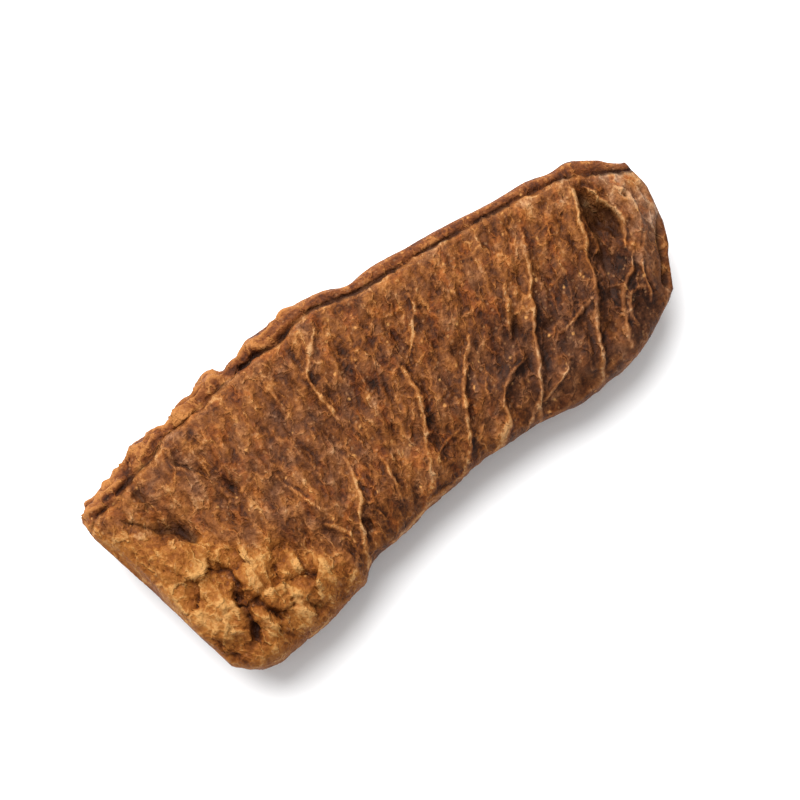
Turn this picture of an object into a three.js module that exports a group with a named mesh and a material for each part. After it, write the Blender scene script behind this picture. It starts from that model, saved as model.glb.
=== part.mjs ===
// Shikakai pod: one whole dried pod, lying on its flatter side. Millimetres.
// +X runs along the pod to its dented end, +Y to the margin with the cord-like rim, +Z is up.
// The origin is under the middle of the pod, on the surface that it lies on.
import * as THREE from 'three';
import { mergeVertices } from 'three/addons/utils/BufferGeometryUtils.js';

// Outline seen from above, as [x, y] points: the outer edge of the rim, the lip of the valve beside
// the rim, and the plain lower margin
const RIM_EDGE = [
  [-33.5, 8.6], [-31, 10.1], [-28, 10.6], [-25.5, 12], [-22.4, 12.7], [-19.5, 12.4], [-16, 13.6],
  [-13, 14], [-10.8, 13.6], [-8, 14.3], [-4, 14.8], [0, 14.5], [2.5, 14.2], [5, 13.1], [7.5, 13.3],
  [12.6, 12.7], [18, 12], [23.2, 11.1], [27.5, 10.7], [30, 9.9], [32.3, 9.7], [34.6, 8.2], [37.4, 6],
];
const VALVE_LIP = [
  [-33.5, 6.9], [-31, 8], [-28, 8.4], [-25.5, 9.3], [-23, 9.6], [-20.5, 10.7], [-17, 11],
  [-12.5, 11.6], [-7, 12.1], [-5, 11.9], [-2.5, 12.6], [0, 12.8], [2.5, 12.2], [5, 11.5],
  [12.6, 10.8], [18, 10.2], [24, 9.5], [28, 8.7], [31, 8], [34, 6.3], [37.4, 4.7],
];
const LOWER_MARGIN = [
  [-33, -10.5], [-29.2, -12.4], [-27.4, -14.2], [-24.8, -15.2], [-20, -15], [-15, -14.6],
  [-12.4, -14.1], [-10.6, -12.8], [-8, -12.2], [-5, -11.7], [0, -11.2], [5, -11], [10.5, -10.9],
  [14.5, -11.8], [18.5, -12.3], [25, -11.4], [29.5, -10.4], [31.5, -9.4], [33.5, -8.2],
];

// The two ends, as [share of the way across from the lower margin to the lip, x] points
const LEFT_END = [[0, -28.8], [0.2, -29.7], [0.4, -30.1], [0.6, -30.6], [0.8, -31.5], [1, -32.6]];
const RIGHT_END = [[0, 33], [0.2, 34.8], [0.4, 35.9], [0.6, 36.7], [0.8, 37.4], [1, 37.3]];

// Half thickness of the pod, and how high its middle layer stands above its rest height, along X
const HALF_THICKNESS = [
  [-34, 2.7], [-28, 3.7], [-18, 4.4], [0, 4.3], [15, 4], [26, 3.6], [33, 2.9], [38, 2.1],
];
const MIDDLE_RISE = [[-34, 1.3], [-24, 0.5], [-12, 0], [2, 0.05], [14, 0.1], [25, 0.5], [38, 1.5]];
const REST_HEIGHT = 5;
const TWIST = 0.0011;

// Shape of the section and of the ends
const SECTION_POWER = 3;
const SECTION_CORNER = 0.5 ** (1 / SECTION_POWER);
const RIM_HALF_HEIGHT = 0.6;
const RIM_WRAP = THREE.MathUtils.degToRad(115);
const LIP_RADIUS = 1.5;
const VALVE_FALL = 0.1;
const END_RADIUS = 2.2;
const END_SHARE = 0.55;
const END_BULGE = 0.5;
const VEIN_LEAN = 9;
const DRAWN_BACK = 1.4;

// Veins, folds and swells of the upper valve are placed as seen from a little off straight above:
// how far x and y shift for each millimetre of height
const SEEN_SHIFT = [0.12, 0.16];

// Raised veins on the upper valve: [rise, half width, points]
const UPPER_VEINS = [
  [0.75, 0.6, [[31, 7.4], [29.3, 3.8], [27.6, 0], [26.1, -3.4], [24.2, -5.8], [22, -9.8], [20.8, -12]]],
  [0.6, 0.6, [[23.4, 6.4], [22, 2.8], [18.9, -1.8], [16.4, -6.4], [13.7, -10.3], [12.6, -11.4]]],
  [0.35, 0.5, [[26, -3.7], [23.2, -4], [20.7, -4.8]]],
  [0.4, 0.5, [[19.2, -7.9], [17, -9.2], [14.4, -10.2]]],
  [0.45, 0.55, [[15.9, -4.6], [13.7, -4.8], [11.3, -6.3], [10.2, -9], [8, -10.8]]],
  [0.45, 0.6, [[12.2, 0.9], [8.3, -3.3], [6.2, -7.3], [4, -10.3]]],
  [0.45, 0.6, [[4.4, 2.2], [4.2, -1.5], [1.3, -6.5], [-0.5, -10.1]]],
  [0.3, 0.5, [[9.8, 8.4], [9.2, 6.4], [5.9, 2.8]]],
  [0.35, 0.5, [[-0.3, 11.3], [-3.8, 8.2], [-4.2, 4.8], [-4.1, 1.4]]],
  [0.45, 0.6, [[-6.3, -1.6], [-6.6, -5.4], [-8.9, -8.6], [-11.2, -13.2]]],
  [0.3, 0.5, [[-3, -3.8], [-3.3, -6.9], [-4.1, -9.4]]],
  [0.25, 0.5, [[-12.9, 0.9], [-12.4, -2], [-11.3, -4.6]]],
  [0.4, 0.5, [[33.1, -2.3], [30.4, -3.8], [27.3, -6.2], [25.5, -10.4]]],
  [0.4, 0.5, [[36.4, -0.2], [34, -3.5], [31.6, -5.1], [30, -7.9]]],
  [0.35, 0.5, [[18.6, 3], [17, 0.2], [15.8, -1.9]]],
  [0.35, 0.5, [[-10.6, -10.2], [-12.2, -12.1], [-14.6, -13.8]]],
  [0.3, 0.5, [[34.4, 5.8], [35.3, 2.8], [34.8, -0.6], [33.6, -3.4]]],
  [0.5, 0.6, [[31.7, 7.3], [32.6, 4.8], [33.2, 2.4], [32.5, 0], [31.7, -1.4]]],
];

// Narrow folds pressed into the upper valve: [depth, half width, points]
const UPPER_CREASES = [
  [1.1, 0.75, [[-29.4, 6.4], [-28.3, 5.3], [-26.4, 3.7], [-24.8, 2.1], [-23.5, -0.1]]],
  [0.75, 0.65, [[-20.8, 8.4], [-19.3, 5.65], [-17.7, 3.1]]],
  [0.4, 0.6, [[-14.3, 4.6], [-12.2, 3.1]]],
  [0.6, 0.6, [[-26.7, 4.7], [-26, 6.3], [-25.7, 8.5]]],
  [0.8, 0.65, [[18.3, 1.8], [17.5, -0.2], [16, -2.5]]],
  [1, 0.7, [[26, -6.6], [27.6, -3.8], [29.1, -0.8], [30.4, 3.2], [31.2, 6.4]]],
  [0.5, 0.6, [[21.6, -3.2], [18.8, -3.4]]],
  [0.5, 0.6, [[25.2, -9], [24.6, -6.6]]],
  [0.6, 0.6, [[-22.7, -4.2], [-23.3, -6], [-23.8, -7.3], [-24.3, -9.8], [-24.3, -12.3]]],
  [0.5, 0.6, [[-23.6, -8.2], [-22.3, -8.8], [-20.6, -8.3], [-19.3, -9.2], [-19, -11]]],
  [0.4, 0.5, [[-22.2, -9.2], [-21.9, -11.2]]],
  [0.4, 0.5, [[-20.6, -5], [-20.6, -8]]],
  [0.6, 0.5, [[-18.8, -12.2], [-16.8, -13.6]]],
  [0.3, 0.6, [[-27.3, -8], [-27.4, -12]]],
];

// Broad hollows and lumps of the upper valve: [height, x, y, half length, half width]
const UPPER_SWELLS = [
  [-2.3, 31.8, 2.4, 1.3, 2.6],
  [0.4, 34.4, 3, 1, 3],
  [-0.7, 29.2, -1.8, 1, 1.8],
  [-0.5, 22, -1, 2.4, 2.6],
  [-0.4, 18.6, -5, 1.8, 2.2],
  [-0.45, 28.4, -8, 1.3, 1.8],
  [-0.35, 25.4, -7.6, 1.2, 2],
  [-0.35, 12.6, -8, 1.3, 2],
  [-0.3, 7.8, -7.6, 1.2, 2.2],
  [-0.3, 3.4, -6.6, 1.2, 2.4],
  [-0.7, -24.2, 3.2, 2.6, 2],
  [0.5, -27.2, 0.2, 2, 2.6],
  [0.8, -21.8, -6.4, 1.1, 1.5],
  [0.7, -19, -6.6, 1.4, 1.5],
  [0.7, -20.7, -10.1, 1.1, 1.1],
  [-0.3, -22.3, -8.9, 0.5, 0.5],
  [-0.3, -23.6, -7.1, 0.6, 1.2],
  [-0.25, -26.3, -7.9, 1.4, 0.5],
  [0.5, -25.7, -10.6, 0.8, 2.4],
  [0.3, -22.4, -12.4, 0.9, 1.5],
  [0.3, -16.4, -10.6, 1.6, 1.1],
  [-0.5, -27.9, -6.4, 1, 1.6],
  [0.4, -13, -11.4, 2.6, 1.6],
  [-0.4, -14.8, -7.4, 2, 1.8],
  [0.35, -9, 6, 5, 4],
  [0.3, 12, 5, 5, 4],
];

// Veins of the lower valve, by rule: evenly spaced, leaning towards the right end at the rim
const LOWER_VEIN_COUNT = 11;
const LOWER_VEIN_STEP = 5.8;
const LOWER_VEIN_RISE = 0.45;
const LOWER_VEIN_WIDTH = 0.6;
const LOWER_SWELLS = [
  [1.05, -1, -0.5, 9, 5],
  [0.7, -22, -3, 4, 5],
  [-0.6, -27, 5, 2, 3],
  [0.6, -4, 1, 6, 5],
  [0.5, 12, -1, 5, 4],
  [-0.8, 30, 1, 2, 4],
  [-0.5, 4, 8, 4, 2],
];

// Slow waves that keep both valves from being flat: [height, waves per mm in x and in y, phase]
const WAVES = [[0.22, 0.42, 0.25, 0.4], [0.16, 0.75, -0.45, 1.9], [0.12, 0.3, 0.85, 3.1]];

// Ripples across the pod, between the veins, and knobs of the rim towards the left end
const RIPPLE_RISE = 0.15;
const RIPPLE_STEP = 3.1;
const KNOB_RISE = 0.18;
const KNOB_STEP = 3.6;

// Steps of the surface along the pod, across it and through its thickness
const STEPS_ALONG = 96;
const STEPS_ACROSS = 23;
const STEPS_THROUGH = 6;

function curveThrough(points) {
  const places = points.map((point) => point[0]);
  const values = points.map((point) => point[1]);
  const spline = new THREE.CubicInterpolant(places, values, 1);
  return (place) => spline.evaluate(place)[0];
}

const rimEdge = curveThrough(RIM_EDGE);
const valveLip = curveThrough(VALVE_LIP);
const lowerMargin = curveThrough(LOWER_MARGIN);
const leftEnd = curveThrough(LEFT_END);
const rightEnd = curveThrough(RIGHT_END);
const halfThickness = curveThrough(HALF_THICKNESS);
const middleRise = curveThrough(MIDDLE_RISE);

// 1 on a path of straight stretches, falling to nothing about two half widths beside it
function closeness(x, y, path, halfWidth) {
  let nearest = Infinity;
  for (let i = 1; i < path.length; i += 1) {
    const [ax, ay] = path[i - 1];
    const [bx, by] = path[i];
    const reach = ((x - ax) * (bx - ax) + (y - ay) * (by - ay)) / ((bx - ax) ** 2 + (by - ay) ** 2);
    const share = THREE.MathUtils.clamp(reach, 0, 1);
    nearest = Math.min(nearest, Math.hypot(x - ax - share * (bx - ax), y - ay - share * (by - ay)));
  }
  return Math.exp(-((nearest / halfWidth) ** 2));
}

function swells(x, y, list) {
  let height = 0;
  for (const [rise, cx, cy, halfLength, halfWidth] of list) {
    height += rise * Math.exp(-(((x - cx) / halfLength) ** 2) - ((y - cy) / halfWidth) ** 2);
  }
  return height;
}

function waves(x, y) {
  let height = 0;
  for (const [rise, alongX, alongY, phase] of WAVES) {
    height += rise * Math.sin(alongX * x + alongY * y + phase);
  }
  return height;
}

// Ripples that run across the pod, uneven in height and never quite straight
function ripples(x, y) {
  const sway = 1.3 * Math.sin(y / 2.6 + x / 4.3) + 0.8 * Math.sin(y / 1.4 - x / 2.9);
  const share = 0.65 + 0.35 * Math.sin(x / 3.7 - y / 4.1);
  return RIPPLE_RISE * share * Math.sin((2 * Math.PI * x) / RIPPLE_STEP + sway);
}

function rimKnobs(x) {
  const share = THREE.MathUtils.smoothstep(-x, -4, 10);
  return KNOB_RISE * share * Math.sin((2 * Math.PI * x) / KNOB_STEP + Math.sin(0.6 * x));
}

// How far the upper valve stands above its smooth form
function upperRelief(x, y) {
  const veins = UPPER_VEINS.map(([rise, width, path]) => rise * closeness(x, y, path, width));
  const creases = UPPER_CREASES.map(([depth, width, path]) => depth * closeness(x, y, path, width));
  return Math.max(...veins) - Math.max(...creases) + swells(x, y, UPPER_SWELLS) + waves(x, y);
}

function lowerVein(index) {
  const middle = (index - (LOWER_VEIN_COUNT - 1) / 2) * LOWER_VEIN_STEP + 1.3 * Math.sin(2.1 * index);
  const bend = 0.9 * Math.sin(3.7 * index);
  return [[middle + 3.4, 9], [middle + 1.2 + bend, 3], [middle - 1.4, -4], [middle - 3.6 - bend, -11]];
}

const LOWER_VEINS = Array.from({ length: LOWER_VEIN_COUNT }, (_, index) => lowerVein(index));

// How far the lower valve stands out below its smooth form
function lowerRelief(x, y) {
  const veins = LOWER_VEINS.map((path) => closeness(x, y, path, LOWER_VEIN_WIDTH));
  return LOWER_VEIN_RISE * Math.max(...veins) + swells(x, y, LOWER_SWELLS) + waves(y, x);
}

// Where the upper valve's edge stops short of the lower valve's: 1 where it does so most
function drawnBack(x, y) {
  const atEnd = Math.exp(-(((y + 5) / 3.6) ** 4)) * THREE.MathUtils.smoothstep(x, 30, 33);
  const atMargin = 0.5 * Math.exp(-(((x - 17) / 4.5) ** 4)) * THREE.MathUtils.smoothstep(-y, 9, 11);
  return Math.max(atEnd, atMargin);
}

// A point of the skin: u runs along the pod from -1 to 1, and (v, w) round its section, on the edge
// of a square whose side v = 1 is the rim and v = -1 the plain margin. Its last number tells how far
// the point is drawn back from the right end.
function skinPoint(u, v, w) {
  const norm = (Math.abs(v) ** SECTION_POWER + Math.abs(w) ** SECTION_POWER) ** (1 / SECTION_POWER);
  const across = Math.min((v / norm + 1) / (SECTION_CORNER + 1), 1);
  const alongShare = (u + 1) / 2;
  const length = rightEnd(across) - leftEnd(across);
  const lean = VEIN_LEAN * Math.sin(Math.PI * alongShare) * alongShare * (across - 0.5);
  const x = leftEnd(across) + length * alongShare + lean;
  const lip = valveLip(x);
  const body = halfThickness(x);
  const knobs = rimKnobs(x);
  const rimHeight = RIM_HALF_HEIGHT * body + knobs;
  let y = THREE.MathUtils.lerp(lowerMargin(x), lip, across);
  let z = (w / norm) * body;
  if (v === 1) {
    const turn = w * RIM_WRAP;
    y += (rimEdge(x) - lip) * (Math.cos(turn) - Math.cos(RIM_WRAP)) / (1 - Math.cos(RIM_WRAP));
    y += knobs * Math.max(Math.cos(turn), 0);
    z = rimHeight * Math.sin(turn);
  } else if (v > 0) {
    const drop = Math.min((lip - y) / LIP_RADIUS, 1);
    const plateau = (1 - VALVE_FALL * v * v) * body;
    z = w * THREE.MathUtils.lerp(rimHeight * Math.sin(RIM_WRAP), plateau, Math.sqrt(1 - (1 - drop) ** 2));
  }
  const near = Math.min((1 - Math.abs(u)) * length / 2 / END_RADIUS, 1);
  z *= THREE.MathUtils.lerp(END_SHARE, 1, Math.sqrt(1 - (1 - near) ** 2));

  const height = Math.max(z, 0);
  const above = upperRelief(x + SEEN_SHIFT[0] * height, y + SEEN_SHIFT[1] * height);
  const valves = THREE.MathUtils.lerp(lowerRelief(x, y), above, THREE.MathUtils.smoothstep(w, -1, 1));
  const relief = valves + ripples(x - lean, y) * Math.abs(w);
  const share = v === 1 ? 0 : near * (1 - Math.exp(-((lip - y) ** 2)));
  const facing = v === -1 ? w * Math.PI / 2 : Math.sign(w) * Math.PI / 2;
  const back = DRAWN_BACK * drawnBack(x, y) * THREE.MathUtils.smoothstep(w, 0.42, 0.56);
  const endBack = x < 30 ? 0 : back;
  y += back - endBack - share * relief * Math.cos(facing);
  z += share * relief * Math.sin(facing);
  return [x - endBack, y, z + REST_HEIGHT + middleRise(x) + TWIST * x * y, endBack];
}

// The pod from a cube whose points run from -1 to 1: its four long faces are the skin, and its two
// end faces are the blunt ends, where the skin's edge shrinks towards the middle. Where the upper
// valve is drawn back, the lower valve's edge stands out again just below it.
function podPoint(u, v, w) {
  const ring = Math.max(Math.abs(v), Math.abs(w));
  const x = THREE.MathUtils.lerp(leftEnd(0.5), rightEnd(0.5), (u + 1) / 2);
  const y = (lowerMargin(x) + valveLip(x)) / 2;
  const middle = [x + u * END_BULGE, y, REST_HEIGHT + middleRise(x) + TWIST * x * y];
  if (ring === 0) {
    return middle;
  }
  const edge = skinPoint(u, v / ring, w / ring);
  const [px, py, pz] = middle.map((value, axis) => THREE.MathUtils.lerp(value, edge[axis], ring));
  const out = THREE.MathUtils.smoothstep(1 - ring, 0.12, 0.34) - (1 - ring);
  return [px + out * edge[3], py, Math.max(pz, 0)];
}

// Turns the diagonal of each four-sided patch to run along a fold and not across it
function turnDiagonals(surface) {
  const corners = surface.index;
  const places = surface.attributes.position;
  for (let i = 0; i < corners.count; i += 6) {
    const [a, b, d, , c] = Array.from({ length: 6 }, (_, step) => corners.getX(i + step));
    if (Math.abs(places.getZ(a) - places.getZ(c)) < Math.abs(places.getZ(b) - places.getZ(d))) {
      [a, b, c, a, c, d].forEach((corner, step) => corners.setX(i + step, corner));
    }
  }
}

function podGeometry() {
  const cube = new THREE.BoxGeometry(2, 2, 2, STEPS_ALONG, STEPS_ACROSS, STEPS_THROUGH);
  cube.deleteAttribute('normal');
  cube.deleteAttribute('uv');
  const surface = mergeVertices(cube, 1e-5);
  const places = surface.attributes.position;
  for (let i = 0; i < places.count; i += 1) {
    places.setXYZ(i, ...podPoint(places.getX(i), places.getY(i), places.getZ(i)));
  }
  turnDiagonals(surface);
  surface.computeBoundingBox();
  const middle = surface.boundingBox.getCenter(new THREE.Vector3());
  surface.translate(-middle.x, -middle.y, 0);
  return surface;
}

const skin = new THREE.MeshStandardMaterial({ color: 0x7a4c2a, roughness: 0.75, metalness: 0 });
const pod = new THREE.Mesh(podGeometry(), skin);
pod.name = 'pod';

const group = new THREE.Group();
group.add(pod);
export default group;
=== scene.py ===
import math

import bmesh
import bpy
import numpy as np
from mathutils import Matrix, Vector, noise


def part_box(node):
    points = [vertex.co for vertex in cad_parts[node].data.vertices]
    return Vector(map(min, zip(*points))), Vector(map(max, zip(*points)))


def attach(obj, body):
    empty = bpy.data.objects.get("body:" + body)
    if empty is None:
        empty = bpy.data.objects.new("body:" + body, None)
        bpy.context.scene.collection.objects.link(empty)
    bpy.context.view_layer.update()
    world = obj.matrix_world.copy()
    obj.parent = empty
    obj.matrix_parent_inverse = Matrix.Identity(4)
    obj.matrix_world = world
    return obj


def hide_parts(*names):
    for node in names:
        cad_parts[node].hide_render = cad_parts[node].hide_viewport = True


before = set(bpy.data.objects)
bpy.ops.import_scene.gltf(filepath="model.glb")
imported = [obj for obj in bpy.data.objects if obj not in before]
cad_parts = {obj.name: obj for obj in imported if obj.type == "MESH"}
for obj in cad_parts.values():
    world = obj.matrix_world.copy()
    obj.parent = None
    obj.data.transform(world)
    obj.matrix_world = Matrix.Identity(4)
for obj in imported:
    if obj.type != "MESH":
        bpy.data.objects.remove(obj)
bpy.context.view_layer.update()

# Shikakai pod, lying on its flatter side. Shapes are worked out in millimetres, with +X along the pod
# to its dented end, +Y to the margin with the cord-like rim and +Z up, and become metres at the end.
MM = 0.001

# Outline seen from above, as [x, y] points
RIM_EDGE = [
    [-33.5, 8.6], [-31, 10.1], [-28, 10.6], [-25.5, 12], [-22.4, 12.7], [-19.5, 12.4], [-16, 13.6],
    [-13, 14], [-10.8, 13.6], [-8, 14.3], [-4, 14.8], [0, 14.5], [2.5, 14.2], [5, 13.1], [7.5, 13.3],
    [12.6, 12.7], [18, 12], [23.2, 11.1], [27.5, 10.7], [30, 9.9], [32.3, 9.7], [34.6, 8.2], [37.4, 6],
]
VALVE_LIP = [
    [-33.5, 6.9], [-31, 8], [-28, 8.4], [-25.5, 9.3], [-23, 9.6], [-20.5, 10.7], [-17, 11],
    [-12.5, 11.6], [-7, 12.1], [-5, 11.9], [-2.5, 12.6], [0, 12.8], [2.5, 12.2], [5, 11.5],
    [12.6, 10.8], [18, 10.2], [24, 9.5], [28, 8.7], [31, 8], [34, 6.3], [37.4, 4.7],
]
LOWER_MARGIN = [
    [-33, -10.5], [-29.2, -12.4], [-27.4, -14.2], [-24.8, -15.2], [-20, -15], [-15, -14.6],
    [-12.4, -14.1], [-10.6, -12.8], [-8, -12.2], [-5, -11.7], [0, -11.2], [5, -11], [10.5, -10.9],
    [14.5, -11.8], [18.5, -12.3], [25, -11.4], [29.5, -10.4], [31.5, -9.4], [33.5, -8.2],
]
LEFT_END = [[0, -28.8], [0.2, -29.7], [0.4, -30.1], [0.6, -30.6], [0.8, -31.5], [1, -32.6]]
RIGHT_END = [[0, 33], [0.2, 34.8], [0.4, 35.9], [0.6, 36.7], [0.8, 37.4], [1, 37.3]]
HALF_THICKNESS = [
    [-34, 2.7], [-28, 3.7], [-18, 4.4], [0, 4.3], [15, 4], [26, 3.6], [33, 2.9], [38, 2.1],
]
MIDDLE_RISE = [[-34, 1.3], [-24, 0.5], [-12, 0], [2, 0.05], [14, 0.1], [25, 0.5], [38, 1.5]]
REST_HEIGHT = 5
TWIST = 0.0011
SECTION_POWER = 3
SECTION_CORNER = 0.5 ** (1 / SECTION_POWER)
RIM_HALF_HEIGHT = 0.6
RIM_WRAP = math.radians(115)
# Where across the rim cord its painted highlight lies, and how wide it is
RIM_HIGHLIGHT_PLACE = 0.42
RIM_HIGHLIGHT_WIDTH = 0.2
LIP_RADIUS = 1.5
VALVE_FALL = 0.1
END_RADIUS = 2.2
END_SHARE = 0.55
END_BULGE = 0.5
VEIN_LEAN = 9

# The step where the upper valve's edge stops short of the lower valve's: how far, between which
# shares of the half height, and the crack at its foot
DRAWN_BACK = 1.4
STEP_EDGE = (0.42, 0.56)
CRACK_DEPTH = 0.8
CRACK_PLACE = 0.56
CRACK_WIDTH = 0.09
STEP_FROM_X = 30

# Veins, folds, swells and lumps of the upper valve are placed as seen from a little off straight
# above: how far x and y shift for each millimetre of height
SEEN_SHIFT = (0.12, 0.16)

# Raised veins of the upper valve: [rise, points]
UPPER_VEINS = [
    [0.75, [[31, 7.4], [29.3, 3.8], [27.6, 0], [26.1, -3.4], [24.2, -5.8], [22, -9.8], [20.8, -12]]],
    [0.6, [[23.4, 6.4], [22, 2.8], [18.9, -1.8], [16.4, -6.4], [13.7, -10.3], [12.6, -11.4]]],
    [0.35, [[26, -3.7], [23.2, -4], [20.7, -4.8]]],
    [0.4, [[19.2, -7.9], [17, -9.2], [14.4, -10.2]]],
    [0.45, [[15.9, -4.6], [13.7, -4.8], [11.3, -6.3], [10.2, -9], [8, -10.8]]],
    [0.45, [[12.2, 0.9], [8.3, -3.3], [6.2, -7.3], [4, -10.3]]],
    [0.45, [[4.4, 2.2], [4.2, -1.5], [1.3, -6.5], [-0.5, -10.1]]],
    [0.3, [[9.8, 8.4], [9.2, 6.4], [5.9, 2.8]]],
    [0.35, [[-0.3, 11.3], [-3.8, 8.2], [-4.2, 4.8], [-4.1, 1.4]]],
    [0.45, [[-6.3, -1.6], [-6.6, -5.4], [-8.9, -8.6], [-11.2, -13.2]]],
    [0.3, [[-3, -3.8], [-3.3, -6.9], [-4.1, -9.4]]],
    [0.25, [[-12.9, 0.9], [-12.4, -2], [-11.3, -4.6]]],
    [0.4, [[33.1, -2.3], [30.4, -3.8], [27.3, -6.2], [25.5, -10.4]]],
    [0.4, [[36.4, -0.2], [34, -3.5], [31.6, -5.1], [30, -7.9]]],
    [0.35, [[18.6, 3], [17, 0.2], [15.8, -1.9]]],
    [0.35, [[-10.6, -10.2], [-12.2, -12.1], [-14.6, -13.8]]],
    [0.3, [[34.4, 5.8], [35.3, 2.8], [34.8, -0.6], [33.6, -3.4]]],
    [0.5, [[31.7, 7.3], [32.6, 4.8], [33.2, 2.4], [32.5, 0], [31.7, -1.4]]],
]

# Thin veins too fine for the coarse solid: [rise, points]
THIN_VEINS = [
    [0.2, [[-26.2, 9.4], [-25.5, 7.6], [-25.9, 5.6]]],
    [0.14, [[-22.9, 9.6], [-22.6, 7], [-23, 4.6]]],
    [0.2, [[-21.1, 9.8], [-20.9, 8], [-19.9, 6]]],
    [0.12, [[-17.6, 10.4], [-17.2, 8.2], [-16.4, 6.4]]],
    [0.3, [[-11.8, -6.4], [-10.6, -8], [-10.4, -9.8]]],
    [0.2, [[5.2, -6.8], [2.9, -7], [1.4, -8.1], [-1, -10.5]]],
    [0.2, [[3.2, 12.3], [4.6, 11.4], [5.2, 10], [5.2, 8.2]]],
    [0.16, [[19.3, 8], [17.6, 7.7], [15.1, 8.6]]],
    [0.16, [[17.8, 7.7], [18.2, 5.2]]],
    [0.18, [[18.4, -2.1], [17.2, -2.4], [16.2, -3]]],
    [0.18, [[11.6, -2.6], [10.9, -4.4], [9.6, -6.2]]],
    [0.16, [[-5.7, -4.6], [-5.5, -6.8]]],
    [0.18, [[-7.3, -7.7], [-6.5, -9], [-6.9, -10.6]]],
    [0.18, [[29.6, -5.5], [28.4, -5.8], [27, -7.6]]],
    [0.35, [[35.5, -1.2], [34.5, -2.9], [33.4, -5], [32.6, -6.6]]],
    [0.3, [[36.2, 5], [36.7, 3.2], [36, 1], [34.8, -1]]],
    [0.3, [[30.6, -6], [29.5, -5.6], [28.5, -6], [27.6, -7.4], [27.2, -9.2]]],
    [0.16, [[31.2, -3], [30.2, -2.2], [29.4, -2.6]]],
    [0.25, [[31.3, -5.2], [32.2, -6.6], [31.6, -8.4]]],
    [0.18, [[24.4, -0.4], [23.6, -2.4], [21.4, -4.4]]],
    [0.16, [[27.6, 5.8], [25.8, 5.2], [24.2, 5.6]]],
    [0.14, [[22.8, 9], [22.4, 7.4], [20.9, 5.6]]],
    [0.14, [[13.4, 9.6], [12.8, 7.2], [13.4, 5]]],
    [0.14, [[8.4, 10.8], [8, 8.8], [7, 7.4]]],
    [0.16, [[-7.8, 11.2], [-8.4, 8.6], [-8, 6.2]]],
    [0.1, [[-11.6, 10.4], [-12.4, 7.8], [-12, 5.4]]],
    [0.16, [[0.8, 6.6], [0.3, 4], [0.6, 1.6]]],
    [0.14, [[-9.3, 3.4], [-9.7, 0.4], [-9.2, -2.2]]],
    [0.1, [[-15.8, 9.4], [-16.6, 6.6], [-16, 4.6]]],
    [0.14, [[27.2, 8.6], [26.6, 6], [25.4, 3.8]]],
    [0.14, [[22.6, -6.4], [21.4, -8], [20.6, -10.6]]],
    [0.25, [[-9.4, -12.6], [-5, -11.5], [-1, -11.1], [3.4, -10.8]]],
    [0.3, [[1.6, -6.1], [-0.3, -9.3], [-2.6, -11.4]]],
    [0.3, [[6.6, -6.6], [4.6, -9.4], [2.4, -11.2]]],
    [0.3, [[10.4, -8.2], [8.6, -10.2], [6, -11.3]]],
    [0.3, [[15, -8.4], [13, -10.4], [10.2, -11.3]]],
    [0.2, [[12, -11], [17, -11.9], [22.6, -11.6]]],
]

# Folds pressed into the upper valve, each deepest near its last point:
# [depth, half width on the left hand and on the right hand of one who walks along it, points]
UPPER_CREASES = [
    [1.3, 1.3, 0.4, [[-29.4, 6.4], [-28.3, 5.3], [-26.4, 3.7], [-24.8, 2.1], [-23.5, -0.1]]],
    [0.45, 0.22, 0.14, [[-21.9, 10.6], [-20.6, 8], [-19.3, 6.1], [-18.2, 3.9], [-16.7, 2]]],
    [0.4, 0.6, 0.3, [[-14.3, 4.6], [-12.2, 3.1]]],
    [0.7, 0.2, 0.45, [[-24, 0.6], [-25.7, 2.9], [-27.2, 4.6], [-29.2, 6.6]]],
    [0.9, 0.2, 0.34, [[-17, 2.4], [-18.2, 3.9], [-19.3, 6.1], [-20.9, 8.8]]],
    [0.5, 0.18, 0.26, [[-17.4, 2.8], [-18.2, 3.9], [-19.6, 6.7]]],
    [0.8, 0.25, 0.4, [[-26.5, 4.7], [-25.6, 6.3], [-25.7, 8.5]]],
    [0.8, 0.45, 0.45, [[18.3, 1.8], [17.5, -0.2], [16, -2.5]]],
    [1, 0.5, 0.9, [[26, -6.6], [27.6, -3.8], [29.1, -0.8], [30.4, 3.2], [31.2, 6.4]]],
    [0.5, 0.5, 0.5, [[21.6, -3.2], [18.8, -3.4]]],
    [0.5, 0.5, 0.5, [[25.2, -9], [24.6, -6.6]]],
    [0.2, 0.35, 0.35, [[-22.7, -4.2], [-23.3, -6], [-23.8, -7.3], [-24.3, -9.8], [-24.3, -12.3]]],
    [0.6, 0.4, 0.3, [[-18.8, -12.2], [-16.8, -13.6]]],
    [0.3, 0.4, 0.4, [[-27.3, -8], [-27.4, -12]]],
    [0.5, 0.5, 0.3, [[-7.9, -8.4], [-8.7, -9.8]]],
]

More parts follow.
